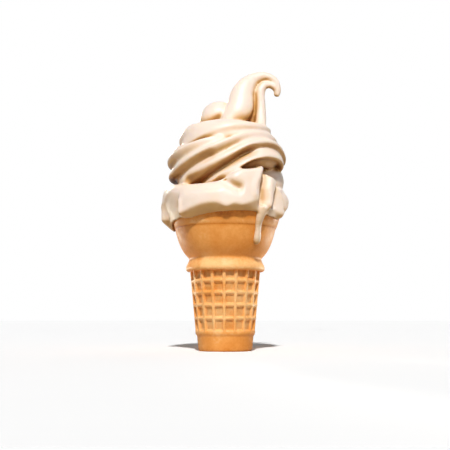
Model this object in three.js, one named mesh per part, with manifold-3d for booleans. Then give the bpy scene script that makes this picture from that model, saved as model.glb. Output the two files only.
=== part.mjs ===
// Soft serve on a flat-footed wafer cup. Millimetres, +Z up, origin at the middle of
// the foot's flat underside. Two pieces: the wafer cup and the ice cream that fills
// its bowl and winds up over its rim.
import * as THREE from 'three';
import { mergeVertices } from 'three/addons/utils/BufferGeometryUtils.js';
import Module from 'manifold-3d';

const wasm = await Module();
wasm.setup();

// ---- wafer cup ----
const foot = { radius: 14.8, topRadius: 15.5, height: 8.1, bevel: 0.5 };
const underside = { ringInner: 7, ringOuter: 11.5, ringDepth: 0.6 };
const band = { radius: 16.5, top: 11.4, round: 0.6 };
const grid = { bottomRadius: 16.5, topRadius: 19.8, top: 44.5, ribs: 18, firstRib: -2 };
const rib = { height: 1.3, width: 4.8, flank: 1.2 }; // width and flank in degrees
const hoops = { heights: [17.7, 24.7, 31.4, 37.8], halfWidth: 0.75, flank: 0.5 };
const collar = { underside: 43.5, lipRadius: 22, lipHeight: 45.2, lipRound: 1.7 };
const neck = { radius: 19.9, flare: 0.5, height: 50.4 };
const bowl = { widest: 28.3, top: 67.6, bulge: [26.4, 56.6] };
const rim = { stepOut: 0.35, radius: 30.9, top: 75.4, wall: 2 };
const cupFloor = 53.5;
const clearance = 0.4; // between the wafer and the ice cream
const cupSides = 40;

// ---- ice cream ----
const hem = { radius: 31.3, height: 72.6, sagLeft: 5.5 };
const skirt = { radius: 35.4, shoulder: 88, top: 92.5, inner: 12, sides: 48 };
const flap = { azimuth: 34, span: 42, rise: 7 };
const rope = { ridges: 8, ridgeDepth: 0.085, square: 2.5, overlap: 2.2, stepsPerTurn: 20 };
const tailSize = 0.8; // the thinner end of each stretch, inside the next
// The rope's roll about its own line: where a ridge faces straight out, and how fast it climbs
const roll = { atTurn: 1.108, angle: -48, perTurn: 235 };
// The rope by quarter turns, counted from the left: the layer's outer radius, its lower and
// upper seam, and how far the coil's middle has moved to the right.
const coil = [
  { turn: 0.35, radius: 30.5, low: 84, high: 99, shift: 0 },
  { turn: 0.5, radius: 33.4, low: 88, high: 102, shift: 0 },
  { turn: 0.75, radius: 33.6, low: 90, high: 107, shift: 0 },
  { turn: 1, radius: 33.1, low: 92, high: 112, shift: 0 },
  { turn: 1.25, radius: 33, low: 91, high: 115, shift: 0 },
  { turn: 1.5, radius: 33.4, low: 102, high: 121, shift: 0 },
  { turn: 1.75, radius: 29.5, low: 107, high: 124, shift: 0 },
  { turn: 2, radius: 25.7, low: 112.3, high: 126.5, shift: 0 },
  { turn: 2.25, radius: 25, low: 115, high: 125.6, shift: 0.5 },
  { turn: 2.5, radius: 23.6, low: 119, high: 127, shift: 2 },
  { turn: 2.75, radius: 19.5, low: 122, high: 133, shift: 3.5 },
  { turn: 3, radius: 18.6, low: 126.3, high: 140.6, shift: 4 },
  { turn: 3.2, radius: 15, low: 127, high: 138, shift: 6 },
];
const innerShare = 0.34; // the rope's inner edge, as a share of the layer's radius
const core = { radius: 28, shoulder: 106, topRadius: 17, top: 121 }; // what the rope winds round
// The drawn-out peak: points of its middle line with the radius there.
const peak = [
  { x: 9.5, y: 0, z: 117, radius: 12.5 },
  { x: 11.7, y: -1, z: 126, radius: 11.4 },
  { x: 11.6, y: -1, z: 135, radius: 10.5 },
  { x: 12.8, y: -1, z: 143, radius: 8.6 },
  { x: 16.4, y: -0.5, z: 149.4, radius: 6.4 },
  { x: 21.6, y: 0, z: 153, radius: 4.9 },
  { x: 26.8, y: 0, z: 152.2, radius: 3.6 },
  { x: 29.5, y: 0, z: 148, radius: 2.3 },
  { x: 29.6, y: 0, z: 144.2, radius: 1.6 },
];
const peakSteps = 20;
const peakSides = 12;
const drip = {
  azimuth: 42, tipAzimuth: 35, top: 76, tip: 57.4, width: 3.6, bead: 4.2, thickness: 1.5,
  steps: 10, sides: 8,
};

const rad = THREE.MathUtils.degToRad;

// A point by its azimuth in degrees (0 in front, 90 on the right), distance out and height.
function around(azimuth, radius, height, shift = 0) {
  const a = rad(azimuth);
  return new THREE.Vector3(shift + radius * Math.sin(a), -radius * Math.cos(a), height);
}

// Turns a closed geometry into a solid: shared corners merged, collapsed triangles dropped.
function solid(geometry) {
  const bare = geometry.clone();
  bare.deleteAttribute('normal');
  bare.deleteAttribute('uv');
  const merged = mergeVertices(bare, 1e-4);
  const corners = merged.index.array;
  const kept = [];
  for (let i = 0; i < corners.length; i += 3) {
    const [a, b, c] = corners.slice(i, i + 3);
    if (a !== b && b !== c && c !== a) kept.push(a, b, c);
  }
  return new wasm.Manifold(new wasm.Mesh({
    numProp: 3,
    vertProperties: new Float32Array(merged.attributes.position.array),
    triVerts: new Uint32Array(kept),
  }));
}

function geometryOf(manifold) {
  const mesh = manifold.getMesh();
  const geometry = new THREE.BufferGeometry();
  geometry.setAttribute('position', new THREE.BufferAttribute(mesh.vertProperties, 3));
  geometry.setIndex(new THREE.BufferAttribute(mesh.triVerts, 1));
  return geometry;
}

// Skins a row of rings, each a list of points, and closes both ends with a fan.
function loft(rings) {
  const sides = rings[0].length;
  const points = rings.flat();
  const middle = (ring) => ring.reduce((sum, p) => sum.add(p), new THREE.Vector3()).divideScalar(sides);
  points.push(middle(rings[0]), middle(rings.at(-1)));
  const index = [];
  for (let i = 0; i + 1 < rings.length; i += 1) {
    for (let j = 0; j < sides; j += 1) {
      const a = i * sides + j;
      const b = i * sides + ((j + 1) % sides);
      index.push(a, a + sides, b + sides, a, b + sides, b);
    }
  }
  const last = (rings.length - 1) * sides;
  for (let j = 0; j < sides; j += 1) {
    const next = (j + 1) % sides;
    index.push(points.length - 2, j, next);
    index.push(points.length - 1, last + next, last + j);
  }
  return new THREE.BufferGeometry().setFromPoints(points).setIndex(index);
}

// A turned body from an outline of (distance out, height).
function turned(outline, segments) {
  return new THREE.LatheGeometry(outline, segments).rotateX(Math.PI / 2);
}

// The cup's outside from the neck to the rim, moved out by gap.
function bowlOutline(gap) {
  const outline = new THREE.Path();
  outline.moveTo(neck.radius + gap, neck.height);
  outline.quadraticCurveTo(bowl.bulge[0] + gap, bowl.bulge[1], bowl.widest + gap, bowl.top);
  outline.lineTo(bowl.widest + rim.stepOut + gap, bowl.top + rim.stepOut);
  outline.lineTo(rim.radius + gap, rim.top - rim.wall / 4);
  outline.lineTo(rim.radius - rim.wall / 2, rim.top + gap);
  return outline.getPoints(5);
}

// The inside of the bowl from the rim down to its floor, moved in by gap.
function cupOutline(gap) {
  const inside = rim.wall + gap;
  const outline = new THREE.Path();
  outline.moveTo(rim.radius - inside, rim.top - rim.wall / 4);
  outline.lineTo(bowl.widest - inside, bowl.top);
  outline.quadraticCurveTo(
    bowl.bulge[0] - inside, bowl.bulge[1] + rim.wall, neck.radius - inside, cupFloor + gap);
  outline.lineTo(0, cupFloor + gap);
  return outline.getPoints(3);
}

// Foot, band, collar and bowl, turned in one piece.
function cupBody() {
  const outline = new THREE.Path();
  outline.moveTo(0, 0);
  outline.lineTo(underside.ringInner, 0);
  outline.lineTo(underside.ringInner + underside.ringDepth, underside.ringDepth);
  outline.lineTo(underside.ringOuter - underside.ringDepth, underside.ringDepth);
  outline.lineTo(underside.ringOuter, 0);
  outline.lineTo(foot.radius - foot.bevel, 0);
  outline.lineTo(foot.radius, foot.bevel);
  outline.lineTo(foot.topRadius, foot.height);
  outline.lineTo(band.radius - band.round, foot.height);
  outline.lineTo(band.radius, foot.height + band.round);
  outline.lineTo(band.radius, band.top - band.round);
  outline.lineTo(band.radius - rib.height, band.top);
  outline.lineTo(grid.topRadius - 2 * rib.height, collar.underside);
  outline.lineTo(collar.lipRadius - collar.lipRound, collar.underside);
  outline.quadraticCurveTo(collar.lipRadius, collar.underside, collar.lipRadius, collar.lipHeight);
  outline.quadraticCurveTo(
    collar.lipRadius, collar.lipHeight + collar.lipRound, neck.radius + neck.flare, neck.height - 1);
  const points = [...outline.getPoints(2), ...bowlOutline(0), ...cupOutline(0)];
  return solid(turned(points, cupSides));
}

// The drum of cells between band and collar: a turned body whose columns are gathered
// into upright ribs, and whose rows stand out as hoops.
function waffleDrum() {
  const reach = hoops.halfWidth + hoops.flank;
  const rows = [[0, band.top - band.round, true], [1, band.top - band.round, true], [1, band.top, false]];
  for (const height of hoops.heights) {
    rows.push([1, height - reach, false], [1, height - hoops.halfWidth, true]);
    rows.push([1, height + hoops.halfWidth, true], [1, height + reach, false]);
  }
  rows.push([1, grid.top, false], [0, grid.top, true]);
  const ribRadius = (z) =>
    THREE.MathUtils.mapLinear(z, band.top, grid.top, grid.bottomRadius, grid.topRadius);
  const outline = rows.map(([share, z]) => new THREE.Vector2(share * ribRadius(z), z));
  const columnsPerRib = [-rib.width / 2, rib.width / 2, rib.width / 2 + rib.flank,
    360 / grid.ribs - rib.width / 2 - rib.flank];
  const geometry = turned(outline, grid.ribs * columnsPerRib.length);
  const place = geometry.attributes.position;
  for (let i = 0; i < place.count; i += 1) {
    const column = Math.floor(i / rows.length) % (grid.ribs * columnsPerRib.length);
    const [share, z, isHoop] = rows[i % rows.length];
    const within = column % columnsPerRib.length;
    const isRib = within < 2;
    const azimuth = grid.firstRib + (column - within) / columnsPerRib.length * (360 / grid.ribs)
      + columnsPerRib[within];
    const sunk = isHoop || isRib ? 0 : rib.height;
    const p = around(azimuth, share * (ribRadius(z) - sunk), z);
    place.setXYZ(i, p.x, p.y, p.z);
  }
  return solid(geometry);
}

// What the ice cream keeps clear of: the cup grown by the clearance, open at its bowl.
function cupClearance() {
  const base = [new THREE.Vector2(0, 0), new THREE.Vector2(collar.lipRadius, 0),
    new THREE.Vector2(collar.lipRadius, collar.lipHeight)];
  return solid(turned([...base, ...bowlOutline(clearance), ...cupOutline(clearance)], cupSides));
}

// The bottom layer, which drapes over the rim: its hem sags on the left, and on the right
// a flap stands up against the layer above.
function bottomLayer() {
  const profiles = [];
  for (let column = 0; column < skirt.sides; column += 1) {
    const azimuth = -column * 360 / skirt.sides;
    const left = Math.max(0, -Math.sin(rad(azimuth)));
    const low = hem.height - hem.sagLeft * left ** 6;
    const wave = 0.5 * Math.cos(rad(azimuth * 5)) + 0.35 * Math.cos(rad(azimuth * 9 + 40));
    const fold = 1 - Math.abs((azimuth + 360) % 360 - flap.azimuth) / flap.span;
    const rise = flap.rise * Math.max(0, fold) ** 0.7;
    profiles.push([
      around(azimuth, bowl.widest - rim.wall, low),
      around(azimuth, hem.radius, low),
      around(azimuth, skirt.radius - 1 + wave, (low + hem.height) / 2 + 1.6),
      around(azimuth, skirt.radius + 0.3 + wave, hem.height + 4.5),
      around(azimuth, skirt.radius - 0.4 + wave, hem.height + 10),
      around(azimuth, skirt.radius - 1.4 + wave / 2, skirt.shoulder + rise / 2),
      around(azimuth, skirt.radius - 5.4, skirt.top + rise),
      around(azimuth, skirt.inner, skirt.top + rise / 2),
    ]);
  }
  const rings = profiles[0].map((_, level) => profiles.map((profile) => profile[level]));
  return solid(loft(rings));
}

// The coil's values at any turn, eased between the listed quarter turns.
function coilAt(turn) {
  const i = Math.min(coil.length - 2, coil.findLastIndex((key) => key.turn <= turn));
  const [from, to] = [coil[i], coil[i + 1]];
  const share = THREE.MathUtils.smoothstep(turn, from.turn, to.turn);
  const mix = (name) => THREE.MathUtils.lerp(from[name], to[name], share);
  return { radius: mix('radius'), low: mix('low'), high: mix('high'), shift: mix('shift') };
}

// One section of the piped rope: a star that rolls as it climbs, squared off a little.
function ropeSection(turn, size = 1) {
  const layer = coilAt(turn);
  const inner = layer.radius * innerShare;
  const halfWidth = (layer.radius - inner) / 2;
  const halfHeight = (layer.high - layer.low) / 2 + rope.overlap / 2;
  const spin = roll.angle + roll.perTurn * (turn - roll.atTurn);
  const ring = [];
  for (let j = 0; j < 2 * rope.ridges; j += 1) {
    const psi = rad(spin + j * 180 / rope.ridges);
    const [c, s] = [Math.cos(psi), Math.sin(psi)];
    const square = (Math.abs(c) ** rope.square + Math.abs(s) ** rope.square) ** (-1 / rope.square);
    const reach = size * square * (j % 2 ? 1 - rope.ridgeDepth : 1 + rope.ridgeDepth / 3);
    const out = inner + halfWidth * (1 + reach * c);
    const height = (layer.low + layer.high) / 2 + halfHeight * reach * s;
    ring.push(around(turn * 360 - 90, out, height, layer.shift));
  }
  return ring;
}

// The rope in half turns, so that no stretch meets itself before they are joined. Each
// stretch runs on, thinner, into the next.
function windingRope() {
  const first = coil[0].turn;
  const steps = Math.round((coil.at(-1).turn - first) * rope.stepsPerTurn);
  const stretch = rope.stepsPerTurn / 2;
  let whole = null;
  for (let start = 0; start < steps; start += stretch) {
    const rings = [];
    for (let i = start; i <= Math.min(start + stretch, steps); i += 1) {
      rings.push(ropeSection(first + i / rope.stepsPerTurn));
    }
    rings.push(ropeSection(first + (start + stretch + 1) / rope.stepsPerTurn, tailSize));
    const piece = solid(loft(rings));
    whole = whole ? whole.add(piece) : piece;
  }
  return whole;
}

// The peak, drawn up and over to the right as the nozzle left it, with its hooked tip.
function drawnPeak() {
  const line = new THREE.CatmullRomCurve3(peak.map((p) => new THREE.Vector3(p.x, p.y, p.z)));
  const last = peak.length - 1;
  const rings = [];
  for (let i = 0; i <= peakSteps; i += 1) {
    const share = i / peakSteps;
    const middle = line.getPoint(share);
    const tangent = line.getTangent(share);
    const side = new THREE.Vector3(0, -1, 0).cross(tangent).normalize();
    const front = tangent.clone().cross(side);
    const key = Math.min(last - 1, Math.floor(share * last));
    const thick = THREE.MathUtils.lerp(peak[key].radius, peak[key + 1].radius, share * last - key);
    const ring = [];
    for (let j = 0; j < peakSides; j += 1) {
      const a = -j * 2 * Math.PI / peakSides;
      const point = middle.clone().addScaledVector(side, thick * Math.cos(a));
      ring.push(point.addScaledVector(front, thick * Math.sin(a)));
    }
    rings.push(ring);
  }
  return solid(loft(rings));
}

// The drip that has run down over the rim and the bowl: a thin tongue ending in a bead.
function runningDrip() {
  const wall = new THREE.SplineCurve(bowlOutline(0)).getPoints(90);
  const rings = [];
  for (let i = 0; i <= drip.steps; i += 1) {
    const share = i / drip.steps;
    const height = THREE.MathUtils.lerp(drip.top, drip.tip, share);
    const azimuth = THREE.MathUtils.lerp(drip.azimuth, drip.tipAzimuth, share);
    const bulge = THREE.MathUtils.smoothstep(share, 0.5, 0.85);
    const end = Math.sqrt(Math.max(0.02, 1 - Math.max(0, (share - 0.86) / 0.14) ** 2)); // round tip
    const width = THREE.MathUtils.lerp(drip.width, drip.bead, bulge) * end;
    const nearest = wall.reduce((a, b) => (Math.abs(a.y - height) < Math.abs(b.y - height) ? a : b));
    const ring = [];
    for (let j = 0; j < drip.sides; j += 1) {
      const a = -j * 2 * Math.PI / drip.sides;
      const sideways = THREE.MathUtils.radToDeg(width / 2 * Math.cos(a) / nearest.x);
      const out = nearest.x + drip.thickness * end * Math.sin(a);
      ring.push(around(azimuth + sideways, out, height));
    }
    rings.push(ring);
  }
  return solid(loft(rings));
}

// What fills the bowl and the middle of the coil.
function filling() {
  const outline = [
    ...cupOutline(0).reverse(),
    new THREE.Vector2(core.radius, skirt.shoulder),
    new THREE.Vector2(core.radius, core.shoulder),
    new THREE.Vector2(core.topRadius, core.top),
    new THREE.Vector2(0, core.top),
  ];
  return solid(turned(outline, cupSides));
}

function softServe() {
  const heap = bottomLayer().add(filling()).add(windingRope()).add(drawnPeak()).add(runningDrip());
  return geometryOf(heap.subtract(cupClearance()));
}

function waferCup() {
  return geometryOf(cupBody().add(waffleDrum()));
}

const wafer = new THREE.MeshStandardMaterial({ color: 0xdf9650, roughness: 0.75, metalness: 0 });
const cream = new THREE.MeshStandardMaterial({ color: 0xfdebd6, roughness: 0.42, metalness: 0 });

const cup = new THREE.Mesh(waferCup(), wafer);
cup.name = 'wafer_cone';
const swirl = new THREE.Mesh(softServe(), cream);
swirl.name = 'soft_serve';

const group = new THREE.Group();
group.add(cup, swirl);
export default group;
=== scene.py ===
import bpy
import math
import numpy as np
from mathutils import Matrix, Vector
from mathutils.bvhtree import BVHTree


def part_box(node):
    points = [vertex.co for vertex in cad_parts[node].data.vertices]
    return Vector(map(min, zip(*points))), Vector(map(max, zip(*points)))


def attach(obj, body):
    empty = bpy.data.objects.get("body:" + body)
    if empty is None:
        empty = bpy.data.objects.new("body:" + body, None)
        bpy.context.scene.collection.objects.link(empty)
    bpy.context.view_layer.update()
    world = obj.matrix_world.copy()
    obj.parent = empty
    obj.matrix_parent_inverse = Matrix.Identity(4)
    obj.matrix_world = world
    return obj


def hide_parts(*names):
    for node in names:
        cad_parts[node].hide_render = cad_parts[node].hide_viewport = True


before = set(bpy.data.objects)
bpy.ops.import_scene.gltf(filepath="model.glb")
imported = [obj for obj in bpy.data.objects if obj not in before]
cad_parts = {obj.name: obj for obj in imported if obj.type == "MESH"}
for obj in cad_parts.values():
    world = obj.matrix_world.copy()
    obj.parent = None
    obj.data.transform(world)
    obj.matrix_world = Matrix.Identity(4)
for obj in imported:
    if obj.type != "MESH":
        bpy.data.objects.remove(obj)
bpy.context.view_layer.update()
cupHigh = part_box("wafer_cone")[1]
mm = 0.001  # shapes are worked out in millimetres and scaled as they become meshes
rimRadius = cupHigh.x / mm
rimTop = cupHigh.z / mm
print("frame loaded")


# helpers

def around(azimuth, radius, height, shift=0.0):
    # azimuth in degrees: 0 in front, 90 on the right
    turn = np.radians(azimuth)
    out = np.broadcast_arrays(shift + radius * np.sin(turn), -radius * np.cos(turn), height)
    return np.stack(out, -1)


def eased(places, values, at):
    # a smooth curve through a few key values; values may hold several columns
    places = np.asarray(places, float)
    values = np.asarray(values, float)
    slopes = np.gradient(values, places, axis=0)
    at = np.clip(np.asarray(at, float), places[0], places[-1])
    i = np.clip(np.searchsorted(places, at, side="right") - 1, 0, len(places) - 2)
    gap = places[i + 1] - places[i]
    u = (at - places[i]) / gap
    if values.ndim > 1:
        gap = gap[:, None]
        u = u[:, None]
    return ((2 * u**3 - 3 * u**2 + 1) * values[i] + (u**3 - 2 * u**2 + u) * gap * slopes[i]
            + (3 * u**2 - 2 * u**3) * values[i + 1] + (u**3 - u**2) * gap * slopes[i + 1])


def smoothstep(low, high, x):
    u = np.clip((x - low) / (high - low), 0, 1)
    return u * u * (3 - 2 * u)


def link(piece):
    bpy.context.scene.collection.objects.link(piece)
    return piece


def meshFrom(name, points, faces):
    mesh = bpy.data.meshes.new(name)
    mesh.from_pydata((np.asarray(points) * mm).tolist(), [], faces)
    mesh.update()
    return link(bpy.data.objects.new(name, mesh))


def loft(name, rings):
    # skins a grid of points, rings by sides, and caps both ends
    count, sides = rings.shape[:2]
    row = np.arange(count - 1)[:, None] * sides
    col = np.arange(sides)[None, :]
    nextCol = (col + 1) % sides
    quads = np.stack([row + col, row + nextCol, row + sides + nextCol, row + sides + col], -1)
    faces = quads.reshape(-1, 4).tolist()
    faces.append(list(range(sides))[::-1])
    faces.append([(count - 1) * sides + j for j in range(sides)])
    return meshFrom(name, rings.reshape(-1, 3), faces)


def barAlong(name, keys, facing=(0.0, -1.0, 0.0), flatness=1.0, sides=40, steps=90):
    # a round bar along a smooth line of (x, y, z, radius); flatness is its depth over its width
    keys = np.asarray(keys, float)
    line = eased(np.linspace(0, 1, len(keys)), keys, np.linspace(0, 1, steps))
    middle = line[:, :3]
    radius = line[:, 3:]
    tangent = np.gradient(middle, axis=0)
    tangent /= np.linalg.norm(tangent, axis=1)[:, None]
    side = np.cross(tangent, facing)
    side /= np.linalg.norm(side, axis=1)[:, None]
    face = np.cross(side, tangent)
    turn = np.linspace(0, 2 * math.pi, sides, endpoint=False)
    rings = (middle[:, None] + side[:, None] * (radius * np.cos(turn))[..., None]
             + face[:, None] * (radius * flatness * np.sin(turn))[..., None])
    return loft(name, rings)


def storeValue(piece, name, values):
    made = piece.data.attributes.new(name, "FLOAT", "POINT")
    made.data.foreach_set("value", values.astype(np.float32))


def joined(name, parts):
    bpy.ops.object.select_all(action="DESELECT")
    for part in parts:
        part.select_set(True)
    bpy.context.view_layer.objects.active = parts[0]
    bpy.ops.object.join()
    piece = bpy.context.view_layer.objects.active
    piece.name = name
    return piece


# camera

view = {"lens": 60.0, "distance": 0.418, "height": 0.0168, "tilt": 7.22, "sideways": -0.00017}

camera = link(bpy.data.objects.new("camera", bpy.data.cameras.new("camera")))
camera.data.lens = view["lens"]
camera.location = (view["sideways"], -view["distance"], view["height"])
camera.rotation_euler = (math.radians(90 + view["tilt"]), 0, 0)
bpy.context.scene.camera = camera


# wafer cup

bowl = {
    "heights": [50.4, 52.3, 54.5, 56.8, 59.0, 61.3, 63.5, 65.8, 67.5],
    "radii": [19.9, 21.7, 23.4, 24.7, 25.7, 26.5, 27.2, 27.8, 28.2],
    "stepOut": 0.55, "stepRise": 0.3, "wall": 2.0, "floor": 53.5, "insideRise": 3.0,
    "rimRound": [(0, 0.6), (0.4, 0), (1.5, 0), (2.0, 0.5)],  # in from the rim and down from its top
    "floorRound": [(18, 1), (16, 0), (0.2, 0)],  # radius, and rise above the floor
}
cup = {
    "foot": [(0, 0), (7, 0), (7.6, 0.6), (10.9, 0.6), (11.5, 0), (14.3, 0), (14.8, 0.5), (15.5, 7.8)],
    "band": [(15.3, 8.3), (16.2, 8.7), (16.5, 9.4), (16.5, 11.0)],
    "gridFoot": (15.25, 11.8), "gridTop": (18.35, 43.4),
    "collar": [(21.2, 43.5), (21.85, 44.1), (22.0, 45.1), (21.7, 46.4), (21.1, 47.5), (20.5, 48.8)],
    "ribs": 18, "firstRib": -2.0, "ribHalf": 3.3, "ribHeight": 1.3,
    "hoops": [17.7, 24.7, 31.4, 37.8], "hoopHalf": 1.25,
    "offsets": [-8.4, -6.8, -5.2, -4.0, -3.4, -3.1, -2.7, -2.2, -1.5, -0.8,
                0, 0.8, 1.5, 2.2, 2.7, 3.1, 3.4, 4.0, 5.2, 6.8, 8.4, 10.0],
    "gridStep": 0.36, "plainStep": 0.75,
    "ribSquare": 4, "hoopSquare": 2, "ridgeRound": 0.6,
    "gridWithin": 20, "gridMargin": 0.5, "plainProud": 0.6,
    "toastAndShade": [(0, 0.95), (8, 0.7), (12, 0.3), (41.5, 0.35), (43.2, 0.9), (44.4, 0.3), (48, 0.25),
              (51, 0.65), (54, 0.9), (66.2, 0.85), (67.1, 1.6), (67.9, 0.6), (69.4, 0.75), (70.8, 1.3),
              (75, 1.5)],  # height, and how browned the wafer is there, partly painted shade: under the collar, below the rim's step and on the band under the ice cream's hem
}


def bowlRadius(height):
    # outside of the bowl and of the flared band above its step
    top = bowl["heights"][-1]
    band = np.interp(height, [top, rimTop], [bowl["radii"][-1] + bowl["stepOut"], rimRadius])
    return np.where(height > top, band, eased(bowl["heights"], bowl["radii"], height))


def sampled(points, step):
    # evenly spaced points along a line of corners
    points = np.asarray(points, float)
    lengths = np.hypot(*np.diff(points, axis=0).T)
    run = np.concatenate([[0], np.cumsum(lengths)])
    at = np.linspace(0, run[-1], max(2, int(run[-1] / step)))
    return np.stack([np.interp(at, run, points[:, k]) for k in (0, 1)], 1)


def dome(distance, half, power):
    return np.clip(1 - np.abs(distance / half) ** power, 0, 1) ** cup["ridgeRound"]


def buildCup():
    bowlAt = np.linspace(bowl["heights"][0], bowl["heights"][-1], 30)
    side = list(zip(bowlRadius(bowlAt), bowlAt))
    rise = [(bowl["radii"][-1] + bowl["stepOut"], bowl["heights"][-1] + bowl["stepRise"])]
    rise += [(rimRadius - inward, rimTop - down) for inward, down in bowl["rimRound"]]
    inside = [(r - bowl["wall"], z) for r, z in side[::-1] if z > bowl["floor"] + bowl["insideRise"]]
    inside += [(r, bowl["floor"] + up) for r, up in bowl["floorRound"]]
    lower = sampled(cup["foot"][1:] + cup["band"], cup["plainStep"])
    middle = sampled([cup["band"][-1], cup["gridFoot"], cup["gridTop"], cup["collar"][0]], cup["gridStep"])
    upper = sampled(cup["collar"] + side + rise + inside, cup["plainStep"])
    outline = np.concatenate([[(bowl["floorRound"][-1][0], 0)], lower, middle[1:], upper[1:]])
    soft = outline.copy()
    soft[1:-1] = 0.25 * outline[:-2] + 0.5 * outline[1:-1] + 0.25 * outline[2:]  # eases the corners
    radius, height = soft.T
    spacing = 360 / cup["ribs"]
    azimuth = (np.arange(cup["ribs"])[:, None] * spacing + cup["firstRib"] + cup["offsets"]).ravel()
    fromRib = np.tile(cup["offsets"], cup["ribs"])
    rib = dome(fromRib, cup["ribHalf"], cup["ribSquare"])[None, :]
    hoop = sum(dome(height - z, cup["hoopHalf"], cup["hoopSquare"]) for z in cup["hoops"])[:, None]
    above = height > cup["band"][-1][1] - cup["gridMargin"]
    below = (height < cup["collar"][0][1]) & (radius < cup["gridWithin"])
    inGrid = (above & below)[:, None]
    raised = (1 - (1 - rib) * (1 - hoop)) * inGrid
    cellRadii, cellHeights = np.transpose([cup["gridFoot"], cup["gridTop"]])
    cell = np.interp(height, cellHeights, cellRadii)
    out = np.maximum(radius[:, None], (cell[:, None] + cup["ribHeight"] * raised) * inGrid)
    out = np.minimum(out, rimRadius)
    piece = loft("waferCup", around(azimuth[None, :], out, height[:, None])[:, ::-1])
    piece.data.polygons.foreach_set("use_smooth", [True] * len(piece.data.polygons))
    # how proud of the cells each point stands, and how long its region bakes, with painted shade added at
    # some heights
    proud = np.where(inGrid, np.clip((out - cell[:, None]) / cup["ribHeight"], 0, 1), cup["plainProud"])
    toastAndShade = np.interp(height, *np.transpose(cup["toastAndShade"]))
    storeValue(piece, "proud", proud[:, ::-1].ravel())
    storeValue(piece, "toastAndShade", np.repeat(toastAndShade, out.shape[1]))
    return piece


# ice cream

# the coil by turns, counted from the left; seams and radii in millimetres
# and how far it leans, how deep its ridges are, how they roll and how many go round it
coilKeys = ("turn", "radius", "low", "high", "shift", "lean", "ridged", "roll", "ridges")
coil = np.array([
    (0.30, 24.0, 84.0, 97.0, 0, 0, 0, -40, 8), (0.42, 28.0, 86.0, 100.5, 0, -0.6, 0, -40, 8),
    (0.50, 32.9, 88.0, 102.5, 0, -0.6, 0.1, -45, 8), (0.75, 33.6, 90.5, 107.0, 0, 0, 0.8, -60, 8),
    (1.00, 33.0, 92.0, 112.5, 0, 0, 1.1, -79, 8), (1.12, 33.0, 88.0, 111.5, 0, 1.8, 1.2, -45, 8),
    (1.20, 33.0, 88.6, 113.0, 0, 1.4, 1.1, -21.5, 8), (1.26, 33.3, 92.0, 114.8, 0, -0.6, 1, -5.5, 8),
    (1.33, 33.8, 98.0, 117.0, 0, -1.8, 1, 14, 8), (1.42, 34.0, 100.6, 119.5, 0, -3.4, 1, 12, 7.5),
    (1.50, 33.2, 101.0, 120.5, 0, -5.0, 1, -20, 7), (1.75, 31.0, 107.0, 124.0, 0, -2.0, 0.9, -60, 6),
    (2.00, 26.2, 111.0, 126.3, 0, -1.5, 0.4, -72, 5), (2.09, 25.8, 109.6, 124.6, 0, -1.5, 0.35, -44, 5),
    (2.165, 25.8, 110.4, 124.2, 0, -1.5, 0.4, -8, 5), (2.25, 25.8, 112.4, 125.0, 0.5, -1.5, 0.45, 14, 5),
    (2.35, 26.0, 115.0, 124.8, 0.8, -1.5, 0.7, 24, 5), (2.50, 24.8, 119.5, 125.5, 1.5, -1.5, 0.7, 15, 5),
    (2.70, 19.5, 122.0, 130.0, 3.0, -2.0, 0.4, 0, 5), (2.92, 15.5, 123.0, 134.0, 3.5, -2.0, 0, 0, 5),
])
rope = {
    "depth": 3.0, "skew": 0.5, "sharp": 0.85, "square": 2.6, "innerShare": 0.36,
    "overlap": 3.0, "stepsPerTurn": 150, "sides": 168, "taper": 0.12, "tipSize": 0.35,
    "fullDepthAt": 11, "depthShare": (0.35, 1.1), "outerSide": (-0.1, 0.3),
    "front": (0.95, 1.02, 1.42, 1.5),  # the turns over which the front's own folds come and go
}


def foldPush(azimuth, height, fold, radius=34.0):
    # works on the layer unrolled flat: arc length across, height up
    line = np.array(fold["line"], float)
    line = eased(np.linspace(0, 1, len(line)), line, np.linspace(0, 1, 25))
    line[:, 0] = np.radians(line[:, 0]) * radius
    across = np.radians(azimuth) * radius
    nearest = np.full(azimuth.shape, 1e9)
    along = np.zeros(azimuth.shape)
    for k in range(len(line) - 1):
        step = line[k + 1] - line[k]
        length = np.hypot(*step)
        share = ((across - line[k, 0]) * step[0] + (height - line[k, 1]) * step[1]) / length**2
        share = np.clip(share, 0, 1)
        distance = np.hypot(across - line[k, 0] - share * step[0], height - line[k, 1] - share * step[1])
        along = np.where(distance < nearest, (k + share) / (len(line) - 1), along)
        nearest = np.minimum(nearest, distance)
    ends = smoothstep(0, 0.12, along) * smoothstep(1, 0.85, along)
    return fold["push"] * np.exp(-(nearest / fold["width"]) ** 2) * ends


# deeper grooves where the coil's front shows them, as lines of (azimuth, height)
ropeFolds = [
    {"line": [(-72, 95), (-55, 97.2), (-40, 99.6), (-23, 102.4), (-8, 105.2)], "width": 2.0, "push": -1.8},
    {"line": [(-52, 90), (-36, 91.5), (-18, 94.4), (1, 98.8), (20, 104.4), (37, 107.6)], "width": 2.8,
     "push": -3.2},
]
# on the left the rope is cut back below its middle ridge, down to the seam
undercut = {
    "azimuths": [-70, -62, -49, -39, -26, -8, 5], "heights": [86, 87, 90.5, 93.6, 96.0, 98.8, 103],
    "radius": 33.2, "slope": 0.72, "from": (-72, -60), "to": (5, -12), "deepest": 9, "onset": 0.8,
}


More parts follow.
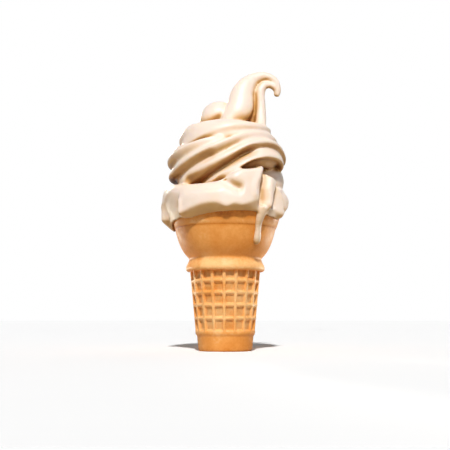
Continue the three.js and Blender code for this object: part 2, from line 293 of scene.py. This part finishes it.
def ropeRings(first, last):
    turns = np.linspace(first, last, int((last - first) * rope["stepsPerTurn"]) + 1)
    at = dict(zip(coilKeys[1:], eased(coil[:, 0], coil[:, 1:], turns).T[..., None]))
    turns = turns[:, None]
    inner = at["radius"] * rope["innerShare"]
    halfWidth = (at["radius"] - inner) / 2
    halfHeight = (at["high"] - at["low"] + rope["overlap"]) / 2
    psi = np.linspace(0, 2 * math.pi, rope["sides"], endpoint=False)[None, :]
    fromCrest = (psi - np.radians(at["roll"]) + math.pi) % (2 * math.pi) - math.pi
    phase = at["ridges"] * fromCrest
    phase = phase - rope["skew"] * (1 - np.cos(phase)) / 2  # broad upper faces, steep undersides
    groove = (0.5 - 0.5 * np.cos(phase)) ** rope["sharp"]
    power = rope["square"]
    square = (np.abs(np.cos(psi)) ** power + np.abs(np.sin(psi)) ** power) ** (-1 / power)
    ends = smoothstep(first, first + rope["taper"], turns) * smoothstep(last, last - rope["taper"], turns)
    size = rope["tipSize"] + (1 - rope["tipSize"]) * np.sqrt(ends)
    depth = rope["depth"] * np.clip(halfHeight / rope["fullDepthAt"], *rope["depthShare"])
    depth = depth * np.clip(at["ridged"], 0, 1)
    out = (halfWidth * square * size - depth * groove) * np.cos(psi)
    up = (halfHeight * square * size - depth * groove) * np.sin(psi)
    radius = inner + halfWidth + out + at["lean"] * np.sin(psi)
    height = (at["low"] + at["high"]) / 2 + up
    start, full, fades, end = rope["front"]
    facing = smoothstep(*rope["outerSide"], np.cos(psi)) * smoothstep(start, full, turns)
    facing = facing * smoothstep(end, fades, turns)
    azimuth = np.broadcast_to(turns * 360 - 450, height.shape)
    radius = radius + facing * sum(foldPush(azimuth, height, fold) for fold in ropeFolds)
    edge = np.interp(azimuth, undercut["azimuths"], undercut["heights"])
    below = np.clip(edge - height, 0, undercut["deepest"])
    limit = undercut["radius"] - undercut["slope"] * below
    span = smoothstep(*undercut["from"], azimuth) * smoothstep(*undercut["to"], azimuth) * (facing > 0)
    span = span * smoothstep(0, undercut["onset"], below)
    radius = radius - np.clip(radius - limit, 0, undercut["deepest"]) * span
    return around(turns * 360 - 90, radius, height, at["shift"])[:, ::-1]


# The bottom layer by azimuth: hem height, height and radius of the edge where its face turns
# under, top height, and how crisp its top edge is.
skirt = np.array([
    (-180, 70.5, 74.5, 35.2, 91.0, 0.2), (-150, 70.0, 74.0, 35.4, 91.0, 0.2),
    (-120, 68.5, 73.0, 35.6, 92.0, 0.2), (-100, 66.8, 72.2, 35.9, 92.5, 0.2),
    (-88, 66.4, 72.0, 35.9, 92.0, 0.3), (-76, 69.4, 71.6, 35.6, 91.0, 0.3),
    (-60, 70.6, 72.0, 35.2, 90.0, 0.3), (-47, 71.0, 72.4, 35.2, 89.0, 0.4),
    (-40, 70.4, 73.2, 35.6, 88.5, 0.4), (-30, 71.2, 75.2, 35.7, 88.3, 0.3),
    (-16, 72.4, 77.0, 35.9, 88.5, 0.3), (-5, 73.0, 76.8, 35.8, 89.5, 0.3),
    (1, 73.2, 75.4, 35.6, 91.0, 0.5), (7, 73.5, 76.7, 35.7, 93.0, 0.8), (15, 73.6, 76.2, 35.5, 95.3, 0.9),
    (23, 73.7, 77.8, 35.4, 95.8, 1.0),
    (32, 73.4, 79.0, 35.2, 97.0, 1.0), (37, 73.0, 78.5, 35.1, 98.0, 1.0), (43, 72.4, 77.0, 34.9, 94.8, 1.0),
    (53, 71.6, 75.0, 34.6, 92.4, 1.0), (58, 71.5, 74.5, 34.5, 90.8, 1.0),
    (63, 71.4, 74.0, 34.4, 88.8, 0.8), (69, 71.4, 74.0, 34.4, 88.3, 0.7),
    (75, 74.5, 77.0, 34.3, 89.5, 0.5), (90, 76.0, 78.6, 34.4, 91.5, 0.4),
    (104, 75.0, 78.0, 34.6, 91.5, 0.3),
    (120, 72.4, 75.6, 34.8, 91.0, 0.2), (150, 71.5, 75.0, 35.2, 91.0, 0.2),
    (180, 70.5, 74.5, 35.2, 91.0, 0.2),
])
gap = 0.3  # between the ice cream and the wafer
film = 1.5  # thinnest layer left on the wafer

# creases and folds over the bottom layer, as lines of (azimuth, height)
folds = [
    {"line": [(-42.5, 68), (-43, 75), (-44, 82)], "width": 1.3, "push": 0.9},
    {"line": [(-86, 78), (-76, 82), (-62, 86), (-42, 89.5)], "width": 1.6, "push": 0.6},
    {"line": [(-4, 93), (0, 89.2), (7, 86), (17, 84)], "width": 2.5, "push": -2.6},
    {"line": [(34.5, 98), (30.5, 92), (26.5, 86), (28, 79)], "width": 1.6, "push": 0.8},
]
# the right-hand end of the layer: a panel's edge and, behind it, a thin standing lip
panelEdge = {"heights": [69, 72, 75, 79, 84, 88, 91, 95], "azimuths": [37, 40, 44.5, 48, 50, 53.5, 57, 60]}
lip = {"heights": [70, 74, 79, 84.5, 88, 91, 95], "azimuths": [69, 67.8, 67, 66, 64, 62, 63]}
pleat = {
    "heights": [73, 76, 80, 86, 92, 99], "azimuths": [28, 29, 29.5, 30, 32.5, 36.5],
    "drop": 5.0, "wide": 6.5, "rise": 9, "fade": (73, 80),
}
tuck = {"azimuths": (-84, -74, -48, -43.5), "heights": (85, 72), "push": -4.0}
ledges = {
    "panelDrop": 5.2, "panelCurve": 1.1, "lipRise": 0.8, "lipCurve": 3, "lipDrop": 4.0,
    "lobeRise": 1.4, "lobeAt": 89.0, "lobeHeight": 82.8, "lobeHalf": 4, "fade": 112.0, "top": (95, 91),
}


def ledgePush(azimuth, height):
    edge = np.interp(height, panelEdge["heights"], panelEdge["azimuths"])
    lipAt = np.interp(height, lip["heights"], lip["azimuths"])
    across = np.clip((azimuth - edge) / (lipAt - edge), 0, 1)
    pocket = ledges["lipRise"] * across ** ledges["lipCurve"]
    pocket = pocket - ledges["panelDrop"] * (1 - across) ** ledges["panelCurve"]
    lobe = np.clip((azimuth - lipAt) / (ledges["lobeAt"] - lipAt), 0, 1)
    behind = -ledges["lipDrop"] + (ledges["lipDrop"] + ledges["lobeRise"]) * smoothstep(0, 1, lobe)
    behind = behind * smoothstep(ledges["fade"], ledges["lobeAt"], azimuth)
    swell = np.exp(-((height - ledges["lobeHeight"]) / ledges["lobeHalf"]) ** 2)
    behind = behind * np.where(behind > 0, swell, 1)
    push = np.where(azimuth < lipAt, pocket, behind)
    push = np.where(azimuth < edge, 0, push) * smoothstep(*ledges["top"], height)
    # a fold that turns in from a crisp edge and comes back out at the panel
    pleatAt = np.interp(height, pleat["heights"], pleat["azimuths"])
    into = smoothstep(pleatAt, pleatAt + pleat["wide"], azimuth)
    out = smoothstep(pleatAt + pleat["wide"] + pleat["rise"], pleatAt + pleat["wide"], azimuth)
    # on the left the face is cut back below, in one flat facet
    left, fromLeft, toRight, right = tuck["azimuths"]
    span = smoothstep(left, fromLeft, azimuth) * smoothstep(right, toRight, azimuth)
    back = tuck["push"] * span * np.clip((tuck["heights"][0] - height) / np.ptp(tuck["heights"]), 0, 1)
    return push + back - pleat["drop"] * into * out * smoothstep(*pleat["fade"], height)


def skirtRings():
    azimuth = np.linspace(-180, 180, 560, endpoint=False)
    hem, edge, belly, top, crisp = eased(skirt[:, 0], skirt[:, 1:], azimuth).T
    wall = bowlRadius(hem + 0.5)
    soft = 1 - crisp
    same = np.ones_like(hem)
    # level by level, from inside over the rim, down the wall, out under the hem and up
    levels = [
        (14 * same, (rimTop + gap + 2) * same),
        ((rimRadius - bowl["wall"]) * same, (rimTop + gap + 0.4) * same),
        ((rimRadius + gap) * same, (rimTop + gap) * same),
        (wall * 0.4 + rimRadius * 0.6 + gap, hem * 0.3 + rimTop * 0.7),
        (wall + gap, hem + 0.2), (wall + 0.9, hem - 0.2), (wall + 1.6, hem + 0.2),
        (belly * 0.5 + wall * 0.5 + 0.6, hem * 0.5 + edge * 0.5 - 0.3), (belly - 0.5, edge - 0.5),
        (belly, edge + 0.6), (belly, edge + 2.5), (belly - 0.2, edge * 0.5 + top * 0.5),
        (belly - 0.6 - 0.6 * soft, top - 2.2 - 3.6 * soft),
        (belly - 1.4 - 1.6 * soft, top - 0.5 - 1.6 * soft),
        (belly - 4 - 1.5 * soft, top + 0.2), (belly - 9.0, top - 0.5), (14 * same, top - 1.0),
    ]
    keys = np.linspace(0, 1, len(levels))
    rows = np.linspace(0, 1, 150)
    radius = eased(keys, np.stack([r for r, _ in levels]), rows)
    height = eased(keys, np.stack([z for _, z in levels]), rows)
    azimuth = np.broadcast_to(azimuth, radius.shape)
    outside = smoothstep(0, 2.0, radius - bowlRadius(height) - 0.8) * (rows[:, None] > 0.3)
    push = sum(foldPush(azimuth, height, fold) for fold in folds) + ledgePush(azimuth, height)
    # the folds never press through to the cup's wall
    least = np.where(height < rimTop + 1, bowlRadius(height) + film, 0)
    return around(azimuth, np.maximum(radius + push * outside, np.minimum(radius, least)), height)


plug = {
    "heights": [54.0, 56.8, 59.0, 63.5, 67.6, 75.0, 78, 84, 90, 106, 113, 120, 126],
    "radii": [17.0, 22.2, 23.4, 24.9, 26.0, 28.3, 27.5, 25, 22, 22.5, 23.2, 15, 6], "sides": 120,
}
# the peak: (x, y, z, radius) along its broad fold, its thin strand and what joins them behind
peakBody = [
    (-4.0, -6.0, 120.0, 6.4), (1.2, -7.6, 124.0, 6.6), (4.4, -7.4, 128.2, 6.6), (6.8, -6.8, 132.0, 7.2),
    (8.3, -5.8, 135.5, 7.5), (8.8, -5.0, 139.2, 7.3), (9.6, -4.0, 143.5, 6.8), (11.6, -3.2, 148.2, 5.8),
    (14.4, -2.4, 151.8, 4.6),
    (17.6, -2.0, 154.0, 3.6), (21.8, -2.0, 155.4, 2.7), (25.9, -2.0, 154.4, 2.3), (28.7, -2.0, 151.8, 2.2),
    (29.8, -2.0, 148.2, 2.1), (29.5, -2.0, 145.0, 1.9), (29.3, -2.0, 143.4, 1.3),
]
peakStrand = [
    (14.0, -12.0, 115.0, 4.0), (18.6, -9.0, 121.0, 3.8), (19.7, -6.0, 126.5, 3.3), (20.1, -4.5, 133.0, 3.0),
    (20.0, -4.0, 138.5, 2.8), (19.8, -3.8, 143.0, 2.7), (20.3, -3.6, 146.6, 2.6), (22.0, -3.2, 149.2, 2.2),
    (24.6, -2.8, 149.9, 1.8), (27.0, -2.4, 149.3, 1.65), (28.6, -2.0, 147.8, 1.5),
]
peakHeart = [
    (10.0, 3.0, 114.0, 11.0), (13.4, 3.2, 126.0, 8.4), (14.6, 1.4, 134.0, 6.6), (15.4, 0.2, 141.0, 5.0),
    (16.6, -0.6, 147.0, 3.6), (18.5, -0.8, 151.5, 2.4), (22.0, -0.9, 152.6, 1.8), (26.0, -1.0, 151.8, 1.4),
]
# the coil's last half turn: a rounded lobe on the left that runs on behind the peak
lobe = [
    (-5.0, 2.0, 122.0, 8.6), (-4.4, 1.0, 130.2, 10.2), (-1.0, 2.5, 131.0, 9.6), (4.5, 6.5, 131.2, 8.4),
    (10.5, 9.5, 129.0, 7.6), (15.0, 9.0, 124.5, 7.2), (17.0, 6.0, 119.0, 6.0),
]
# hollows pressed straight back into the finished surface, along lines of (x, y, z)
dents = [
    {"line": [(-14, -7, 121.5), (-10, -8, 123.5), (-6.5, -9, 125.5), (-3.5, -9, 128)], "width": 2.8,
     "depth": 1.5},
]
drip = {
    "keys": [(39.5, 76.5, 3.4), (38, 73.0, 2.9), (37.2, 70.0, 2.4), (37.6, 67.0, 2.1), (38.6, 63.5, 2.0),
             (39.4, 60.5, 2.3), (40, 58.2, 2.0), (40.2, 56.8, 0.9)],
    "lift": 0.5, "flatness": 0.75, "azimuth": 40,
}
melt = {"bodyFlatness": 0.76, "voxel": 0.62, "smooth": 0.5, "rounds": 3}


def buildCream():
    plugAt = np.linspace(plug["heights"][0], plug["heights"][-1], 90)
    sweep = np.linspace(0, 360, plug["sides"], endpoint=False)[None, :]
    plugRadii = eased(plug["heights"], plug["radii"], plugAt)
    dripKeys = [(*around(a, bowlRadius(z) + drip["lift"], z), w) for a, z, w in drip["keys"]]
    parts = [
        loft("bottomLayer", skirtRings()),
        loft("rope", ropeRings(coil[0, 0], coil[-1, 0])),
        loft("plug", around(sweep, plugRadii[:, None], plugAt[:, None])),
        barAlong("peakBody", peakBody, flatness=melt["bodyFlatness"]),
        barAlong("peakStrand", peakStrand),
        barAlong("peakHeart", peakHeart),
        barAlong("lobe", lobe),
        barAlong("drip", dripKeys, around(drip["azimuth"], 1, 0), drip["flatness"]),
    ]
    piece = joined("swirl", parts)
    remesh = piece.modifiers.new("remesh", "REMESH")
    remesh.mode = "VOXEL"
    remesh.voxel_size = melt["voxel"] * mm
    smooth = piece.modifiers.new("smooth", "SMOOTH")
    smooth.factor = melt["smooth"]
    smooth.iterations = melt["rounds"]
    for modifier in ("remesh", "smooth"):
        bpy.ops.object.modifier_apply(modifier=modifier)
    points = np.empty(len(piece.data.vertices) * 3, np.float32)
    piece.data.vertices.foreach_get("co", points)
    points = points.reshape(-1, 3)
    for dent in dents:
        line = np.array(dent["line"]) * mm
        line = eased(np.linspace(0, 1, len(line)), line, np.linspace(0, 1, 30))
        distance = np.min([np.linalg.norm(points - spot, axis=1) for spot in line], axis=0)
        points[:, 1] += dent["depth"] * mm * np.exp(-(distance / dent["width"] / mm) ** 2)
    piece.data.vertices.foreach_set("co", points.ravel())
    piece.data.polygons.foreach_set("use_smooth", [True] * len(piece.data.polygons))
    return piece


wafer = buildCup()
print("wafer cup", len(wafer.data.polygons), "faces")
cream = buildCream()
print("ice cream", len(cream.data.polygons), "faces")


# shade: what lies deep in a crease

def openness(piece, rays=12, reach=14 * mm):
    # how much of the space above each point is open: 1 in the open, towards 0 deep in a crease
    mesh = piece.data
    tree = BVHTree.FromPolygons([v.co[:] for v in mesh.vertices], [p.vertices[:] for p in mesh.polygons])
    places = np.empty(len(mesh.vertices) * 3, np.float32)
    normals = np.empty(len(mesh.vertices) * 3, np.float32)
    mesh.vertices.foreach_get("co", places)
    mesh.vertices.foreach_get("normal", normals)
    places = places.reshape(-1, 3).astype(float)
    normals = normals.reshape(-1, 3).astype(float)
    k = np.arange(rays) + 0.5
    lift = np.sqrt(1 - k / rays)  # cosine spread
    spread = np.sqrt(k / rays)
    turn = k * math.pi * (3 - math.sqrt(5))
    helper = np.where(np.abs(normals[:, 2:]) < 0.9, [[0, 0, 1.0]], [[1.0, 0, 0]])
    across = np.cross(helper, normals)
    across /= np.linalg.norm(across, axis=1)[:, None]
    along = np.cross(normals, across)
    free = np.zeros(len(places))
    starts = (places + normals * 0.4 * mm).tolist()
    for r in range(rays):
        aim = (across * (spread[r] * math.cos(turn[r])) + along * (spread[r] * math.sin(turn[r]))
               + normals * lift[r]).tolist()
        hits = [tree.ray_cast(start, way, reach)[3] for start, way in zip(starts, aim)]
        free += [1.0 if hit is None else hit / reach for hit in hits]
    return free / rays


def spreadOut(mesh, values, rounds):
    # evens a value out over neighbouring points
    ends = np.empty(len(mesh.edges) * 2, np.int64)
    mesh.edges.foreach_get("vertices", ends)
    ends = ends.reshape(-1, 2)
    links = np.bincount(ends.ravel(), minlength=len(values)).astype(float)
    for _ in range(rounds):
        total = np.bincount(ends[:, 0], values[ends[:, 1]], len(values))
        total += np.bincount(ends[:, 1], values[ends[:, 0]], len(values))
        values = 0.5 * values + 0.5 * total / links
    return values


# painted shade for both pieces: their colour is darkened where the surface closes in over a point
storeValue(cream, "shade", spreadOut(cream.data, 1 - openness(cream), 3))
storeValue(wafer, "shade", spreadOut(wafer.data, 1 - openness(wafer, reach=1.8 * mm), 1))
print("shade stored")


# materials

def linear(*colour):
    # 0-255 screen colour to the shader's linear colour
    shares = [c / 255 for c in colour]
    return [c / 12.92 if c <= 0.04045 else ((c + 0.055) / 1.055) ** 2.4 for c in shares] + [1]


def newMaterial(name):
    material = bpy.data.materials.new(name)
    material.use_nodes = True
    return material, material.node_tree, material.node_tree.nodes["Principled BSDF"]


def addNode(tree, kind, inputs=(), **settings):
    node = tree.nodes.new(kind)
    for key, value in settings.items():
        setattr(node, key, value)
    for key, value in dict(inputs).items():
        if isinstance(value, bpy.types.NodeSocket):
            tree.links.new(value, node.inputs[key])
        else:
            node.inputs[key].default_value = value
    return node


def scaled(tree, value, fromLow, fromHigh, toLow, toHigh):
    inputs = {"Value": value, "From Min": fromLow, "From Max": fromHigh, "To Min": toLow, "To Max": toHigh}
    return addNode(tree, "ShaderNodeMapRange", inputs).outputs["Result"]


def added(tree, *values):
    total = values[0]
    for value in values[1:]:
        total = addNode(tree, "ShaderNodeMath", {0: total, 1: value}, operation="ADD").outputs[0]
    return total


def times(tree, one, other):
    return addNode(tree, "ShaderNodeMath", {0: one, 1: other}, operation="MULTIPLY").outputs[0]


def ramp(tree, value, stops):
    node = addNode(tree, "ShaderNodeValToRGB", {"Fac": value})
    elements = node.color_ramp.elements
    for k, (place, colour) in enumerate(stops):
        element = elements[k] if k < 2 else elements.new(place)
        element.position = place
        element.color = linear(*colour)
    return node.outputs["Color"]


def noise(tree, scale, detail=3.0, roughness=0.5):
    place = addNode(tree, "ShaderNodeTexCoord").outputs["Object"]
    inputs = {"Vector": place, "Scale": scale, "Detail": detail, "Roughness": roughness}
    return addNode(tree, "ShaderNodeTexNoise", inputs).outputs["Fac"]


def makeGrain(low=0.3, high=0.7):
    # mottled colour, uneven gloss and fine pores, with each food's own values
    group = bpy.data.node_groups.new("foodGrain", "ShaderNodeTree")
    for name in ("Mottle Scale", "Mottle Detail", "Mottle Roughness", "Mottle", "Gloss Scale",
                 "Smoothest", "Roughest", "Pore Scale", "Pore Detail", "Pore Roughness"):
        group.interface.new_socket(name, in_out="INPUT", socket_type="NodeSocketFloat")
    for name in ("Mottle", "Roughness", "Pores"):
        group.interface.new_socket(name, in_out="OUTPUT", socket_type="NodeSocketFloat")
    given = group.nodes.new("NodeGroupInput").outputs
    made = group.nodes.new("NodeGroupOutput").inputs
    mottle = noise(group, given["Mottle Scale"], given["Mottle Detail"], given["Mottle Roughness"])
    darker = times(group, given["Mottle"], -1)
    group.links.new(scaled(group, mottle, low, high, darker, given["Mottle"]), made["Mottle"])
    gloss = noise(group, given["Gloss Scale"])
    rough = scaled(group, gloss, low, high, given["Smoothest"], given["Roughest"])
    group.links.new(rough, made["Roughness"])
    pores = noise(group, given["Pore Scale"], given["Pore Detail"], given["Pore Roughness"])
    group.links.new(pores, made["Pores"])
    return group


grainGroup = makeGrain()

# the light end of the ramp is the cream's own colour; the darker stops are painted shade for creases and
# for faces turned downwards
creamLook = {
    "stops": [(0.08, (252, 230, 213)), (0.95, (136, 86, 40)), (0.26, (243, 213, 180)),
              (0.46, (212, 162, 94)), (0.68, (172, 120, 60))],
    "paintedUnderFrom": 0.25, "paintedUnderTo": -0.75, "paintedUnderShade": 0.5,
    "grain": {"Mottle Scale": 90, "Mottle Detail": 3, "Mottle Roughness": 0.5, "Mottle": 0.05,
              "Gloss Scale": 400, "Smoothest": 0.36, "Roughest": 0.48,
              "Pore Scale": 900, "Pore Detail": 3, "Pore Roughness": 0.5},
    "bump": {"Strength": 0.12, "Distance": 0.0004},
    "subsurface": 0.16, "subsurfaceRadius": (1.0, 0.55, 0.25), "subsurfaceScale": 0.0025,
}

creamMaterial, tree, shader = newMaterial("cream")
shade = addNode(tree, "ShaderNodeAttribute", attribute_name="shade").outputs["Fac"]
normal = addNode(tree, "ShaderNodeNewGeometry").outputs["Normal"]
upward = addNode(tree, "ShaderNodeSeparateXYZ", {0: normal}).outputs["Z"]
# painted shade: faces that turn downwards get a darker colour
paintedUnderShade = scaled(tree, upward, creamLook["paintedUnderFrom"], creamLook["paintedUnderTo"], 0, creamLook["paintedUnderShade"])
grain = addNode(tree, "ShaderNodeGroup", creamLook["grain"], node_tree=grainGroup).outputs
# painted crease shade and painted underside shade, with the cream's mottle, set the colour
depth = added(tree, shade, paintedUnderShade, grain["Mottle"])
tree.links.new(ramp(tree, depth, creamLook["stops"]), shader.inputs["Base Color"])
tree.links.new(grain["Roughness"], shader.inputs["Roughness"])
bump = addNode(tree, "ShaderNodeBump", {**creamLook["bump"], "Height": grain["Pores"]})
tree.links.new(bump.outputs["Normal"], shader.inputs["Normal"])
shader.inputs["Subsurface Weight"].default_value = creamLook["subsurface"]
shader.inputs["Subsurface Radius"].default_value = creamLook["subsurfaceRadius"]
shader.inputs["Subsurface Scale"].default_value = creamLook["subsurfaceScale"]
cream.data.materials.clear()
cream.data.materials.append(creamMaterial)
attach(cream, "root")
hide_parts("soft_serve")

# the ramp's darker stops serve both real browning and painted shade
waferLook = {
    "stops": [(0.0, (250, 196, 130)), (1.0, (110, 46, 12)), (0.22, (240, 162, 80)), (0.5, (222, 134, 44)),
              (0.75, (176, 84, 14))],
    "shade": 0.5, "toastAndShade": 0.4, "hatch": 0.03, "proud": -0.06, "hatches": 180, "hatchBelow": 0.15,
    "grain": {"Mottle Scale": 60, "Mottle Detail": 4, "Mottle Roughness": 0.6, "Mottle": 0.17,
              "Gloss Scale": 300, "Smoothest": 0.42, "Roughest": 0.6,
              "Pore Scale": 1300, "Pore Detail": 5, "Pore Roughness": 0.6},
    "speckScale": 700, "specks": 0.05, "dimpleScale": 260, "dimples": 0.8,
    "bump": {"Strength": 0.35, "Distance": 0.0003}, "hatchBump": {"Strength": 0.6, "Distance": 0.00025},
    "specular": 0.3, "subsurface": 0.08, "subsurfaceRadius": (1.0, 0.5, 0.2), "subsurfaceScale": 0.001,
}

waferMaterial, tree, shader = newMaterial("wafer")
shade = addNode(tree, "ShaderNodeAttribute", attribute_name="shade").outputs["Fac"]
toastAndShade = addNode(tree, "ShaderNodeAttribute", attribute_name="toastAndShade").outputs["Fac"]
proud = addNode(tree, "ShaderNodeAttribute", attribute_name="proud").outputs["Fac"]
place = addNode(tree, "ShaderNodeTexCoord").outputs["Object"]
split = addNode(tree, "ShaderNodeSeparateXYZ", {0: place})
turn = addNode(tree, "ShaderNodeMath", {0: split.outputs["X"], 1: split.outputs["Y"]}, operation="ARCTAN2")
phase = times(tree, turn.outputs[0], waferLook["hatches"])
wave = addNode(tree, "ShaderNodeMath", {0: phase}, operation="SINE")
sunk = scaled(tree, proud, 0.0, waferLook["hatchBelow"], 1.0, 0.0)
hatch = times(tree, wave.outputs[0], sunk)
grain = addNode(tree, "ShaderNodeGroup", waferLook["grain"], node_tree=grainGroup).outputs
speckle = noise(tree, waferLook["speckScale"], 4, 0.6)
specks = scaled(tree, speckle, 0.35, 0.65, -waferLook["specks"], waferLook["specks"])
# the ramp's input: painted crease shade, browning with painted shade at some heights, mottle, specks, hatch
# lines, and raised parts a touch lighter than the cells
brownAndShade = added(tree, times(tree, shade, waferLook["shade"]), times(tree, toastAndShade, waferLook["toastAndShade"]),
              grain["Mottle"], specks, times(tree, hatch, waferLook["hatch"]),
              times(tree, proud, waferLook["proud"]))
tree.links.new(ramp(tree, brownAndShade, waferLook["stops"]), shader.inputs["Base Color"])
tree.links.new(grain["Roughness"], shader.inputs["Roughness"])
dimples = times(tree, noise(tree, waferLook["dimpleScale"]), waferLook["dimples"])
pores = added(tree, grain["Pores"], dimples)
rough = addNode(tree, "ShaderNodeBump", {**waferLook["bump"], "Height": pores})
lined = {**waferLook["hatchBump"], "Height": hatch, "Normal": rough.outputs["Normal"]}
lines = addNode(tree, "ShaderNodeBump", lined)
tree.links.new(lines.outputs["Normal"], shader.inputs["Normal"])
shader.inputs["Specular IOR Level"].default_value = waferLook["specular"]
shader.inputs["Subsurface Weight"].default_value = waferLook["subsurface"]
shader.inputs["Subsurface Radius"].default_value = waferLook["subsurfaceRadius"]
shader.inputs["Subsurface Scale"].default_value = waferLook["subsurfaceScale"]
wafer.data.materials.clear()
wafer.data.materials.append(waferMaterial)
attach(wafer, "root")
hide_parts("wafer_cone")
print("materials")


# floor and light

lights = {
    "fill": 0.13, "mirrored": 0.6,
    "suns": [("key", (0.0, -1.0, 1.0), 3.15, 2.6), ("back", (0.5, 1.0, 0.9), 0.15, 40.0)],
    "spots": [("left", (-0.42, 0.40, 0.015), 18.0, 0.045, 6.4),  # place, power, aim height and spread
              ("right", (0.44, 0.40, 0.015), 20.0, 0.045, 6.4),
              ("top", (-0.22, 0.60, 0.34), 8.0, 0.105, 11.0)],
    "spotSize": 0.03, "spotBlend": 0.9, "spotColour": (1.0, 0.92, 0.76),
    "floorCorners": [(-6, -3, 0), (6, -3, 0), (6, 12, 0), (-6, 12, 0)],  # in metres
    "floorSeen": 1.12, "floorBounce": 0.7,
}

floor = meshFrom("floor", np.array(lights["floorCorners"]) / mm, [(0, 1, 2, 3)])
floorMaterial, tree, shader = newMaterial("floor")
seen = addNode(tree, "ShaderNodeLightPath").outputs["Is Camera Ray"]
tone = scaled(tree, seen, 0, 1, lights["floorBounce"], lights["floorSeen"])
tree.links.new(tone, shader.inputs["Base Color"])
shader.inputs["Roughness"].default_value = 0.9
shader.inputs["Specular IOR Level"].default_value = 0.1
floor.data.materials.append(floorMaterial)

world = bpy.data.worlds.new("world")
bpy.context.scene.world = world
world.use_nodes = True
tree = world.node_tree
path = addNode(tree, "ShaderNodeLightPath")
level = added(tree, lights["fill"], times(tree, path.outputs["Is Camera Ray"], 1 - lights["fill"]),
              times(tree, path.outputs["Is Glossy Ray"], lights["mirrored"] - lights["fill"]))
tree.links.new(level, tree.nodes["Background"].inputs["Strength"])
tree.nodes["Background"].inputs["Color"].default_value = (1, 1, 1, 1)


def addLamp(name, kind, place, power):
    lamp = link(bpy.data.objects.new(name, bpy.data.lights.new(name, kind)))
    lamp.data.energy = power
    lamp.location = place
    return lamp


def aimAt(lamp, target):
    lamp.rotation_euler = (Vector(target) - lamp.location).to_track_quat("-Z", "Y").to_euler()


for name, place, power, spread in lights["suns"]:
    sun = addLamp(name, "SUN", place, power)
    sun.data.angle = math.radians(spread)
    aimAt(sun, (0, 0, 0))
for name, place, power, aimHeight, spread in lights["spots"]:
    spot = addLamp(name, "SPOT", place, power)
    spot.data.spot_size = math.radians(spread)
    spot.data.spot_blend = lights["spotBlend"]
    spot.data.shadow_soft_size = lights["spotSize"]
    spot.data.color = lights["spotColour"]
    aimAt(spot, (0, 0, aimHeight))
bpy.context.scene.view_settings.view_transform = "Standard"
